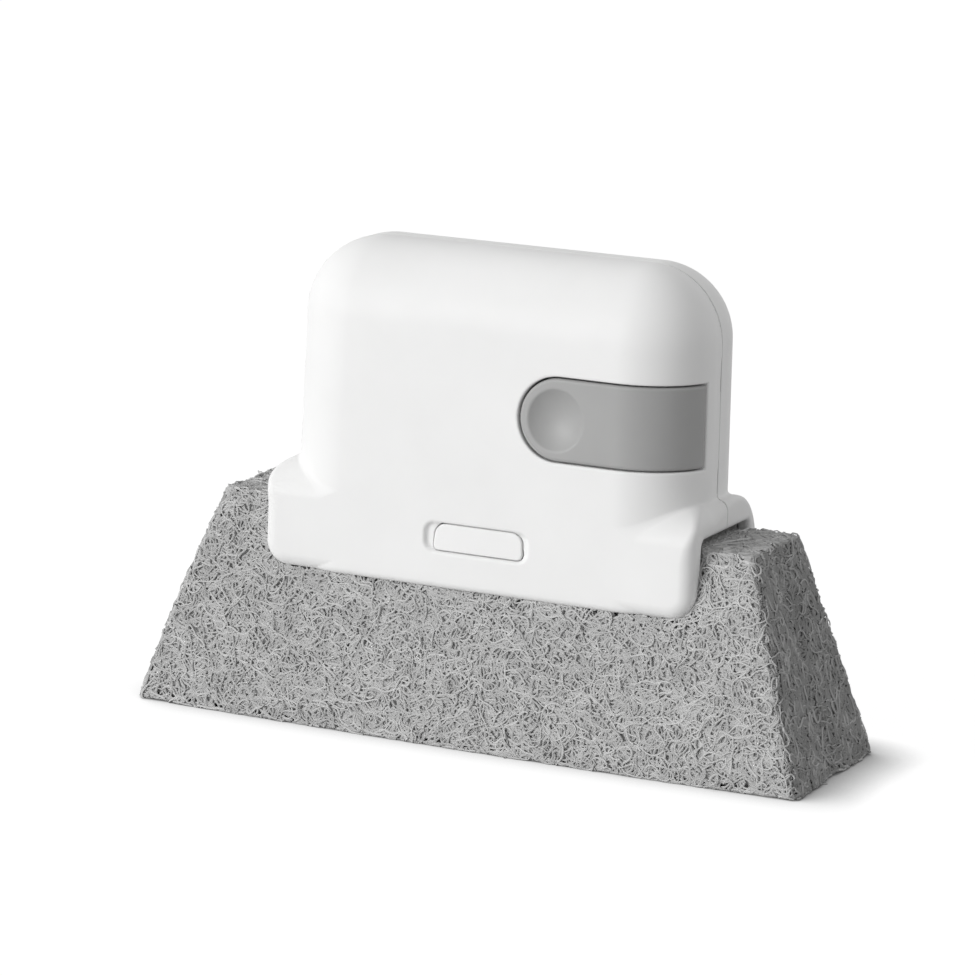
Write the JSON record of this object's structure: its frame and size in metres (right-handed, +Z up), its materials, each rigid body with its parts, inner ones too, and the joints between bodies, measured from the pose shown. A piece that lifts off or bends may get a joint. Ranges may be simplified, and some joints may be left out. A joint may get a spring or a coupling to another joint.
{
  "type": "window track brush",
  "caption": "Hand brush for window tracks: rounded white handle with a grey thumb lever and latch window, clipped over a tapered grey fibre scouring pad that pulls out.",
  "frame": {"origin": "centre of the pad's underside, where the brush stands", "axes": "+X along the brush towards the lever end, -Y the front face with the lever and latch window, +Z up from the pad to the handle's top"},
  "size_m": [0.1306, 0.0386, 0.0882],
  "materials": {
    "white_shell": "satin white moulded plastic",
    "grey_lever": "satin mid-grey moulded plastic",
    "holder_plastic": "matt pale grey moulded plastic",
    "fibre_pad": "open grey non-woven scouring fibre",
    "spring_steel": "bright spring steel",
    "screw_steel": "plated steel"
  },
  "bodies": {
    "handle": {"front_shell": "white_shell", "rear_shell": "white_shell", "lever_pin": "screw_steel", "slide_spring_left": "spring_steel", "slide_spring_right": "spring_steel", "shell_screw_1": "screw_steel", "shell_screw_2": "screw_steel", "shell_screw_3": "screw_steel", "shell_screw_4": "screw_steel"},
    "lever": {"thumb_lever": "grey_lever"},
    "slide": {"latch_slide": "white_shell"},
    "pad_unit": {"pad_holder": "holder_plastic", "leaf_catch": "spring_steel", "scouring_pad": "fibre_pad"}
  },
  "joints": [
    {"name": "latch_press", "type": "slide", "parent": "handle", "child": "slide", "axis": [0, 1, 0], "range_m": [0, 0.0016], "stiffness_N_per_m": 500, "springref_m": -0.002, "deforming": ["slide_spring_left", "slide_spring_right", "leaf_catch"]},
    {"name": "lever_press", "type": "hinge", "parent": "handle", "child": "lever", "pos_m": [0.0315, -0.011, 0.061], "axis": [0, 0, -1], "range_deg": [0, 5.1], "deforming": ["slide_spring_left", "slide_spring_right", "leaf_catch"]},
    {"name": "pad_pull", "type": "slide", "parent": "handle", "child": "pad_unit", "axis": [0, 0, -1], "range_m": [0, 0.03], "deforming": ["leaf_catch"]}
  ],
  "couplings": [
    {"joint": "lever_press", "follows": "latch_press", "rad_per_m": 55.6}
  ]
}
